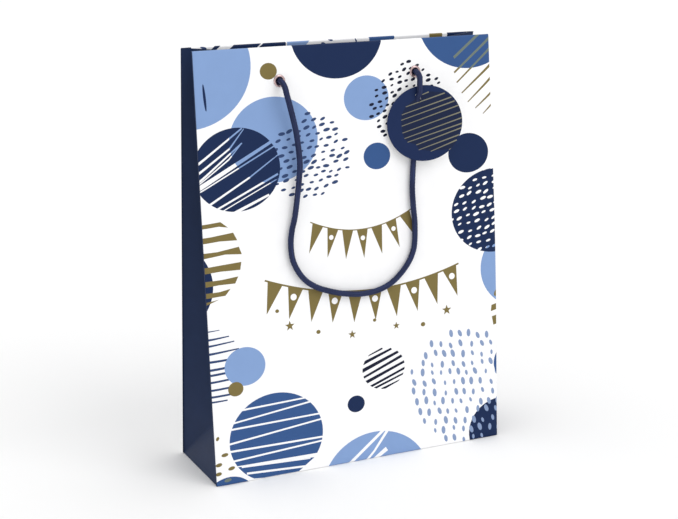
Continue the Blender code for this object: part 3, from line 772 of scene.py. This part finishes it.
def makeGusset(side, wall):
    end = 1 if wall == "front" else -1
    half, columns, footRows = gusset["half"], gusset["columns"], gusset["footRows"]
    steps, hemSteps = gusset["rows"], gusset["hemRows"]
    ups = [half * i / footRows for i in range(footRows)]
    ups += [half + (hemStart - half) * i / steps for i in range(steps)]
    ups += [hemStart + 0.01 + (wallLength - hemStart) * i / hemSteps for i in range(hemSteps + 1)]
    points, thickness, rows, bases = [], [], [], []

    def addPoint(inset, depth, height, up):
        points.append((side * (halfWidth - gusset["tuck"] - inset) * mm, end * depth * mm, height * mm))
        thickness.append(sheetAt(up))
        return len(points) - 1

    for up in ups:
        deep = gusset["under"] + sheetAt(up) * creaseInset(up) / half - bag["drawnSheet"] - bag["paperGap"]
        edge = Vector((0, deep - halfDepthAt(up), up * cos(lean) + fold["lift"]))
        inner = gussetInner(up) + Vector((0, 0, fold["lift"]))
        swell = gusset["soft"] * min(1.0, up / half) * (1 - max(0.0, up - hemStart) / bag["hemDepth"])
        row = []
        for i in range(columns + 1):
            t = i / columns
            place = edge.lerp(inner, t)
            place.x -= edgeBow(wall, side, up) * (1 - t) ** 2
            bow = swell * sin(pi * t) * sin(up / gusset["wave"])
            row.append(addPoint(place.x + bow, place.y, place.z, up))
        rows.append(row)
    for up, row in zip(ups[:footRows + 1], rows):
        inset, depth, height = baseSlope * up, gussetInner(up).y, baseRise * up + fold["lift"]
        bases.append([row[-1]] + [
            addPoint(inset, depth * (1 - i / columns), height, up) if up < half else row[-1]
            for i in range(1, columns + 1)])
    faces = []
    for grid in (rows, bases):
        for lower, upper in zip(grid, grid[1:]):
            for i in range(columns):
                faces += [[lower[i], lower[i + 1], upper[i + 1]], [lower[i], upper[i + 1], upper[i]]]
    faces = [f for f in faces if len(set(f)) == 3]
    areas = np.linalg.norm(faceCrosses(points, faces), axis=1)
    faces = [f for f, area in zip(faces, areas) if area > 1e-12]
    if side * end < 0:      # so that the printed side faces out
        faces = [f[::-1] for f in faces]
    middles = np.array(points)[np.array(faces)].mean(axis=1)[:, 2] / mm
    back = [0 if z > hemStart * cos(lean) else 1 for z in middles]
    hand = "left" if side < 0 else "right"
    piece = thicken(f"{hand}_gusset_{wall}", points, faces, [0] * len(faces), [gussetInk, barePaper],
                    back, thickness)
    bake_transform(piece)
    replaced = [f"{hand}_gusset_{wall}_leaf"]
    if wall == "front":
        replaced.append(f"{hand}_gusset_base")
    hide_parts(*replaced)


for side in (-1, 1):
    for wall in ("front", "back"):
        makeGusset(side, wall)
print("gussets folded")


def turned(name, profile, matrix, material, sides=72):      # a closed outline about the matrix's axis
    points, faces = [], []
    for radius, height in profile:
        for i in range(sides):
            t = 2 * pi * i / sides
            points.append(matrix @ (Vector((radius * cos(t), radius * sin(t), height)) * mm))
    count = len(profile)
    for k in range(count):
        low, high = k * sides, (k + 1) % count * sides
        for i in range(sides):
            j = (i + 1) % sides
            faces.append((low + i, low + j, high + j, high + i))
    return addMesh(name, points, faces, [material])


def arc(centreRadius, centreHeight, radius, first, last, steps):
    turns = [radians(first + (last - first) * i / steps) for i in range(steps + 1)]
    return [(centreRadius + radius * cos(t), centreHeight + radius * sin(t)) for t in turns]


eyelet = {
    "bore": 2.5, "barrel": 3.0, "flange": 4.7, "face": 0.3, "crown": 0.85,
    "rollFront": -3.4, "rollBack": -3.95, "roll": 4.2,
}
washer = {"inner": 3.3, "outer": 5.5, "front": -2.7, "back": -3.1, "edge": 0.12}


def makeEyelets(wall):
    bore, barrel, flange, face, crown, front, back, roll = eyelet.values()
    half = (flange - bore) / 2
    profile = arc((bore + flange) / 2, face, half, 0, 180, 14)
    profile = [(r, face + (h - face) * (crown / half)) for r, h in profile]
    profile += [(bore, -1.0), (bore, -2.4), (bore + 0.15, back + 0.2)]
    profile += [(bore + 0.5, back), (roll - 0.4, back - 0.02)]
    profile += arc(roll - 0.25, (front + back) / 2, 0.26, -60, 90, 6)
    profile += [(barrel + 0.1, front), (barrel, front + 0.2), (barrel, face - 0.02)]
    inner, outer, front, back, edge = washer.values()
    ring = [(inner, back + edge), (inner + edge, back), (outer - edge, back), (outer, back + edge),
            (outer, front - edge), (outer - edge, front), (inner + edge, front), (inner, front - edge)]
    for name, sign in (("a", -1), ("b", 1)):
        place = wallFrames[wall] @ Matrix.Translation(Vector((sign * eyeletAlong, eyeletUp, 0)) * mm)
        for kind, outline in (("eyelet", profile), ("washer", ring[::-1])):
            piece = turned(f"{wall}_{kind}_{name}_metal", outline, place, eyeletMetal)
            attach(piece, f"{wall}_wall")
            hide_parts(f"{wall}_{kind}_{name}")


# A knitted tube along a path, pinched by its eyelets
cord = {
    "diameter": 4.6, "step": 0.5, "sides": 36, "picks": 6, "pickLength": 2.6, "relief": 0.16,
    "exitOut": 0.4, "face": 0.9, "arc": 9.4, "pinch": 0.88, "pinchRun": 7,
    "turnDown": 7.5, "turnOut": 8.4,    # where the cord moves fully with its handle
    "mapLength": 10,
}


def smoothPath(points, step):
    # Points a step apart along a smooth curve through the given ones
    knots = [Vector(p) for p in points]
    ends = [2 * knots[0] - knots[1], *knots, 2 * knots[-1] - knots[-2]]
    fine = []
    for before, start, stop, after in zip(ends, ends[1:], ends[2:], ends[3:]):
        for i in range(40):
            t = i / 40
            bend = 2 * start + (stop - before) * t
            bend += (2 * before - 5 * start + 4 * stop - after) * t ** 2
            bend += (3 * start - before - 3 * stop + after) * t ** 3
            fine.append(bend / 2)
    fine.append(knots[-1])
    lengths = np.concatenate(([0], np.cumsum([(b - a).length for a, b in zip(fine, fine[1:])])))
    count = max(2, int(round(lengths[-1] / step)))
    wanted = np.linspace(0, lengths[-1], count + 1)
    table = np.array([tuple(p) for p in fine])
    return [Vector([float(np.interp(w, lengths, table[:, k])) for k in range(3)]) for w in wanted]


def knittedTube(name, path, diameter, material, look, squeeze=None):
    # Sweeps a ring whose radius follows the crossing yarns; the path is in metres
    sides, radius = look["sides"], diameter / 2 * mm
    points, faces = [], []
    normal = (path[1] - path[0]).normalized().orthogonal().normalized()
    travelled, along = 0.0, []
    for k, place in enumerate(path):
        ahead = path[min(k + 1, len(path) - 1)] - path[max(k - 1, 0)]
        ahead.normalize()
        normal = (normal - ahead * normal.dot(ahead)).normalized()
        across = ahead.cross(normal)
        if k:
            travelled += (place - path[k - 1]).length / mm
        along.append(travelled)
        wave = travelled / look["pickLength"] * pi
        taper = squeeze(travelled) if squeeze else 1.0
        for i in range(sides):
            t = 2 * pi * i / sides
            pick = sin(look["picks"] * t + wave) * sin(look["picks"] * t - wave)
            reach = (radius - look["relief"] * mm * (0.5 - 0.5 * pick)) * taper
            points.append(place + normal * (cos(t) * reach) + across * (sin(t) * reach))
    turns, levels = [i / sides for i in range(sides + 1)], [d / look["mapLength"] for d in along]
    uvs = []
    for k in range(len(path) - 1):
        for i in range(sides):
            j = (i + 1) % sides
            faces.append((k * sides + i, k * sides + j, (k + 1) * sides + j, (k + 1) * sides + i))
            for t, level in ((i, k), (i + 1, k), (i + 1, k + 1), (i, k + 1)):
                uvs += [turns[t], levels[level]]
    for cap, ring in ((range(sides)[::-1], 0), (range(sides), len(path) - 1)):
        faces.append(tuple(ring * sides + i for i in cap))
        for i in cap:
            uvs += [turns[i], levels[ring]]
    piece = addMesh(name, points, faces, [material], sharp=70)
    piece.data.uv_layers.new(name="cordMap").data.foreach_set("uv", uvs)
    return piece


# Routes along, up and out on the wall. Each starts and ends with the bend out of an eyelet
frontRoute = [
    (-52, 281.6, 8.6),
    (-48.2, 264.6, 7), (-46.2, 244.8, 5.8), (-46.8, 234.8, 5.2), (-48.2, 222.6, 4.4),
    (-51.4, 203, 3.5), (-54, 193.1, 3), (-55.4, 182.3, 2.7), (-54.4, 170.4, 2.6),
    (-50.4, 160.7, 2.6), (-44.2, 152.6, 2.6), (-35.8, 146.6, 2.6), (-26.5, 142.6, 2.6),
    (-14.7, 139, 2.6), (-0.9, 136.6, 2.6), (11.3, 136.6, 2.6), (21.3, 138.6, 2.6),
    (30.3, 142.6, 2.6), (38, 148.6, 2.6), (44, 155.2, 2.6), (48.2, 162, 2.6),
    (51, 171, 2.6), (51.9, 187.2, 2.6), (51.1, 200, 2.6), (50.6, 213.7, 2.6),
    (51.4, 227, 2.6), (52.8, 241, 2.7), (54.2, 256, 3), (55.6, 269, 3.6),
    (56, 276, 4), (55.7, 280.6, 4.2), (55.7, 282.8, 4.6), (55.8, 285, 5.5),
    (55.8, 287.2, 7.2), (55.9, 289.4, 8.8), (56, 291.4, 9.8),
]
backRoute = [
    (-55.4, 292, 9.7), (-53.4, 280, 8.8),
    (-51.4, 262, 7), (-50.3, 240, 5.4), (-50.2, 215, 4.1), (-50.5, 192, 3.2),
    (-49.8, 172, 2.8), (-46.4, 156.4, 2.6), (-38.2, 144.4, 2.6), (-26, 137, 2.6),
    (-10, 133.2, 2.6), (8, 132.8, 2.6), (25, 136.2, 2.6), (39, 143.8, 2.6),
    (48, 155.4, 2.6), (52.4, 171, 2.8), (53.3, 191, 3.1), (52.6, 214, 3.9),
    (52, 239, 5.2), (52.6, 262, 7), (54, 280, 8.8), (55.8, 292, 9.7),
]


def exitBend(sign, drift):
    # Straight out of the eyelet, then a quarter turn down, drifting sideways a little
    points = [(sign * eyeletAlong, eyeletUp, cord["exitOut"])]
    fall = sqrt(1 - drift ** 2)
    for degrees in (0, 18, 36, 54, 72, 88):
        t = radians(degrees)
        run, out = cord["arc"] * (1 - cos(t)), cord["arc"] * sin(t)
        points.append((sign * eyeletAlong + drift * run, eyeletUp - fall * run, cord["face"] + out))
    return points


def makeCord(wall, route, drifts):
    places = exitBend(-1, drifts[0]) + route + exitBend(1, drifts[1])[::-1]
    path = smoothPath([onWall(wall, *p) for p in places], cord["step"] * mm)
    length = sum((b - a).length for a, b in zip(path, path[1:]))

    def squeeze(travelled):
        free = min(1.0, min(travelled, length / mm - travelled) / cord["pinchRun"])
        return cord["pinch"] + (1 - cord["pinch"]) * sin(free * pi / 2)

    piece = knittedTube(f"{wall}_handle_cord", path, cord["diameter"], cordYarn, cord, squeeze)
    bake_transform(piece)
    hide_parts(f"{wall}_rope")
    print(wall, "cord", round(length / mm, 1), "mm")


knot = {
    "diameter": 3.5, "sides": 28, "relief": 0.12, "step": 0.45,
    "stub": [(0, 0, 0.2), (0, 0, -2.0), (0, 0, -4.2)], "points": 46, "used": 0.97, "from": 0.4,
    "small": 1.25, "large": 1.75, "tight": 0.82, "middle": -7.9, "rise": 1.45,
}


def makeKnots(wall):
    # An overhand knot behind the washer, with the cord's stub in the bore
    for name, sign in (("a", -1), ("b", 1)):
        place = wallFrames[wall] @ Matrix.Translation(Vector((sign * eyeletAlong, eyeletUp, 0)) * mm)
        loops = []
        for i in range(knot["points"]):
            t = 2 * pi * i / knot["points"] * knot["used"] + knot["from"]
            x = knot["small"] * sin(t) + knot["large"] * sin(2 * t)
            y = knot["small"] * cos(t) - knot["large"] * cos(2 * t)
            z = knot["middle"] - knot["rise"] * sin(3 * t)
            loops.append((x * knot["tight"], y * knot["tight"], z))
        path = smoothPath([place @ (Vector(p) * mm) for p in knot["stub"] + loops[2:]], knot["step"] * mm)
        piece = knittedTube(f"{wall}_knot_{name}_cord", path, knot["diameter"], cordYarn, {**cord, **knot})
        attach(piece, f"{wall}_wall")
        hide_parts(f"{wall}_knot_{name}")


# A round card on the front cord
tag = {
    "radius": 30.9, "halfHeight": 29.6, "thickness": 0.6, "hole": (2.4, 3.6), "holeAside": -1.2,
    "holeEdge": 8.8, "offset": 7.2, "twist": 10, "tilt": 10, "place": (57.1, 287), "curl": 0.35,
    "margin": 0.2, "lineWidths": (0.55, 1.0),
    "lines": [      # on the right two thirds, as along and up from the tag's centre on the wall
        (-3, 21.8, 4, 24.2), (-15.2, 13.6, 17, 22.6), (-18.6, 7.6, 22.4, 19.2), (-19.2, 3.4, 25, 16),
        (-19, -1.2, 28.8, 12.6), (-18.6, -6.6, 31, 7.4), (-17.1, -11, 31, 2.6), (-14.6, -14, 31, -1.8),
        (-7.6, -16.6, 30, -5.4), (-5.6, -20.6, 28, -10.8), (4.2, -22.4, 26, -14.8), (19.4, -22, 24, -20.2)],
}


def tagMatrix():
    place = Matrix.Translation(Vector((*tag["place"], tag["offset"])) * mm)
    twist = Matrix.Rotation(radians(-tag["twist"]), 4, "Y")
    tilt = Matrix.Rotation(radians(tag["tilt"]), 4, "Z")
    return wallFrames["front"] @ place @ twist @ tilt


def makeTag():
    drop = tag["halfHeight"] - tag["holeEdge"]
    outline = oval(0, -drop, 2 * tag["radius"], 2 * tag["halfHeight"], 0, 128)
    hole = oval(tag["holeAside"], 0, 2 * tag["hole"][0], 2 * tag["hole"][1], 0, 48)
    lines = [stroke(row[:2], row[2:], *tag["lineWidths"]) for row in tag["lines"]]
    turn = radians(-tag["tilt"])
    c, s = cos(turn), sin(turn)
    lines = [[(x * c - y * s, x * s + y * c - drop) for x, y in ring] for ring in lines]
    grid = np.arange(-28, 29, 4.0)
    spots = [(x, y - drop) for x in grid for y in grid]
    ground = [ring[0] for ring in lines] + [ring[3] for ring in lines[::-1]]    # darker, under the lines
    margin = 2 * tag["margin"]
    face = oval(0, -drop, 2 * tag["radius"] - margin, 2 * tag["halfHeight"] - margin, 0, 128)
    layers = [layer("midnight", [ground], within=face), layer("paleBronze", lines, within=face)]
    flat, faces, ink = cutSheet(outline, [hole], layers, [], spots)
    matrix = tagMatrix()
    half = tag["thickness"] / 2
    points = []
    for x, y in flat:
        lift = half + tag["curl"] * ((x / tag["radius"]) ** 2 - 0.3)
        points.append(matrix @ (Vector((x, y, lift)) * mm))
    names = list(inks)
    shown = {names.index("paleBronze"): 1, names.index("midnight"): 2}
    inkNumbers = [shown.get(i, 0) for i in ink.tolist()]
    piece = thicken("round_tag_card", points, faces.tolist(), inkNumbers,
                    [tagFace, inks["paleBronze"], inks["midnight"], tagBack], [3] * len(faces),
                    tag["thickness"])
    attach(piece, "tag_body")
    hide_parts("tag")
    return piece


tagPiece = makeTag()
makeCord("front", frontRoute, (0.12, -0.16))
makeCord("back", backRoute, (0.14, -0.14))
for wall in ("front", "back"):
    makeEyelets(wall)
    makeKnots(wall)
print("fittings made")

# These sheets keep the frame's shape
keptFinish = {
    "base_board": greyBoard, "front_hem_card": foldedCard, "back_hem_card": foldedCard,
    "glue_flap": barePaper, "bottom_back_flap": inks["white"], "bottom_front_flap": barePaper,
    "bottom_left_flap": barePaper, "bottom_right_flap": barePaper,
}
for name, material in keptFinish.items():
    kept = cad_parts[name].data.materials
    kept.clear()
    kept.append(material)

studio = {
    "floor": 40.0, "floorColour": "#FAFAFA", "floorRoughness": 0.9, "floorGap": 0.0002,
    "sky": 0.9, "key": 0.8, "keySpread": 38, "keyFrom": (0.45, -0.8, 0.95),
}
floorMesh = bpy.data.meshes.new("studioFloor")
corners = [(x * studio["floor"], y * studio["floor"], 0) for x, y in ((-1, -1), (1, -1), (1, 1), (-1, 1))]
floorMesh.from_pydata(corners, [], [(0, 1, 2, 3)])
floor = bpy.data.objects.new("studioFloor", floorMesh)
floorMaterial, _ = newMaterial("matt_white_sweep", {
    "Base Color": colourFromHex(studio["floorColour"]), "Roughness": studio["floorRoughness"]})
floorMesh.materials.append(floorMaterial)
floor.location.z = min(0.0, cadBox[0][2]) - studio["floorGap"]
scene.collection.objects.link(floor)

world = bpy.data.worlds.new("softSky")
scene.world = world
world.use_nodes = True
background = world.node_tree.nodes["Background"]
background.inputs["Color"].default_value = (1, 1, 1, 1)
background.inputs["Strength"].default_value = studio["sky"]

softKey = bpy.data.lights.new("softKey", "SUN")      # a wide overhead bank
softKey.energy = studio["key"]
softKey.angle = radians(studio["keySpread"])
lamp = bpy.data.objects.new("softKey", softKey)
lamp.rotation_euler = (-Vector(studio["keyFrom"])).to_track_quat("-Z", "Y").to_euler()
scene.collection.objects.link(lamp)
scene.view_settings.view_transform = "Standard"
print("studio set")
